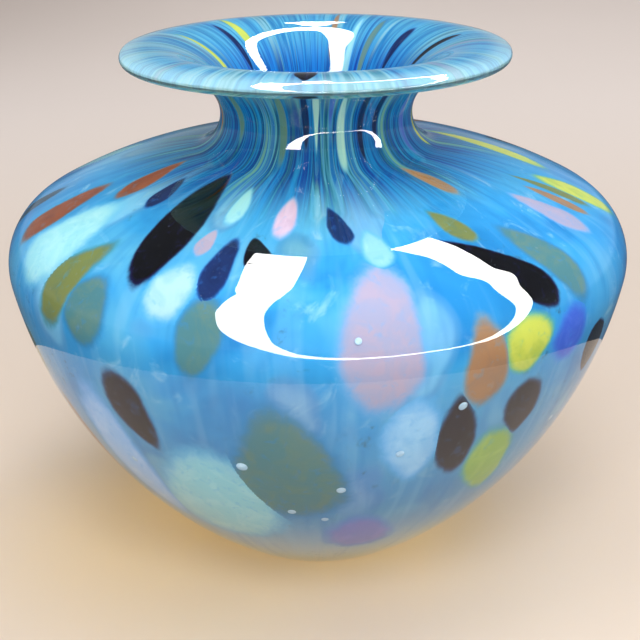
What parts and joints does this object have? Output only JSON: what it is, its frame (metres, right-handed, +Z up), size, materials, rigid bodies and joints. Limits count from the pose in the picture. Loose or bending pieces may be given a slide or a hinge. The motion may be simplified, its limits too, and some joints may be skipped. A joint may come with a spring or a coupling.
{
  "type": "vase",
  "caption": "Round-bellied blown glass vase with narrow neck and flared mouth, blue cased glass with coloured chips melted into the wall.",
  "frame": {"origin": "centre of the foot's resting face, on the table", "axes": "+Z up along the vase's axis of symmetry; -Y is the front, +X is to the right"},
  "size_m": [0.2, 0.2, 0.1674],
  "materials": {
    "clear_glass": "fire-polished clear glass",
    "blue_glass": "opal azure glass under clear glass, streaked lighter and darker",
    "black_glass": "opaque black glass chip melted into the blue layer",
    "rust_glass": "opaque rust glass chip melted into the blue layer",
    "mint_glass": "opaque mint glass chip melted into the blue layer",
    "olive_glass": "opaque olive glass chip melted into the blue layer",
    "moss_glass": "opaque moss glass chip melted into the blue layer",
    "navy_glass": "opaque navy glass chip melted into the blue layer",
    "slate_glass": "opaque slate glass chip melted into the blue layer",
    "lavender_glass": "opaque lavender glass chip melted into the blue layer",
    "lilac_glass": "opaque lilac glass chip melted into the blue layer",
    "pink_glass": "opaque pink glass chip melted into the blue layer",
    "pale_glass": "opaque pale glass chip melted into the blue layer",
    "orange_glass": "opaque orange glass chip melted into the blue layer",
    "yellow_glass": "opaque yellow glass chip melted into the blue layer",
    "brown_glass": "opaque brown glass chip melted into the blue layer",
    "lime_glass": "opaque lime glass chip melted into the blue layer",
    "violet_glass": "opaque violet glass chip melted into the blue layer",
    "cobalt_glass": "opaque cobalt glass chip melted into the blue layer"
  },
  "bodies": {
    "root": {"inner_gather": "clear_glass", "colour_layer": "blue_glass", "outer_casing": "clear_glass", "black_chip_1": "black_glass", "black_chip_2": "black_glass", "black_chip_3": "black_glass", "black_chip_4": "black_glass", "rust_chip_1": "rust_glass", "rust_chip_2": "rust_glass", "rust_chip_3": "rust_glass", "mint_chip_1": "mint_glass", "mint_chip_2": "mint_glass", "mint_chip_3": "mint_glass", "olive_chip_1": "olive_glass", "olive_chip_2": "olive_glass", "olive_chip_3": "olive_glass", "olive_chip_4": "olive_glass", "moss_chip_1": "moss_glass", "moss_chip_2": "moss_glass", "moss_chip_3": "moss_glass", "moss_chip_4": "moss_glass", "navy_chip_1": "navy_glass", "navy_chip_2": "navy_glass", "navy_chip_3": "navy_glass", "slate_chip_1": "slate_glass", "lavender_chip_1": "lavender_glass", "lavender_chip_2": "lavender_glass", "lilac_chip_1": "lilac_glass", "lilac_chip_2": "lilac_glass", "lilac_chip_3": "lilac_glass", "pink_chip_1": "pink_glass", "pale_chip_1": "pale_glass", "pale_chip_2": "pale_glass", "orange_chip_1": "orange_glass", "orange_chip_2": "orange_glass", "orange_chip_3": "orange_glass", "yellow_chip_1": "yellow_glass", "yellow_chip_2": "yellow_glass", "yellow_chip_3": "yellow_glass", "brown_chip_1": "brown_glass", "brown_chip_2": "brown_glass", "brown_chip_3": "brown_glass", "lime_chip_1": "lime_glass", "violet_chip_1": "violet_glass", "cobalt_chip_1": "cobalt_glass", "black_chips_back": "black_glass", "rust_chips_back": "rust_glass", "mint_chips_back": "mint_glass", "olive_chips_back": "olive_glass", "lilac_chips_back": "lilac_glass", "yellow_chips_back": "yellow_glass", "navy_streaks": "navy_glass", "moss_streaks": "moss_glass", "mint_streaks": "mint_glass", "cobalt_streaks": "cobalt_glass", "black_streaks": "black_glass", "yellow_streaks": "yellow_glass", "orange_streaks": "orange_glass"}
  },
  "joints": []
}
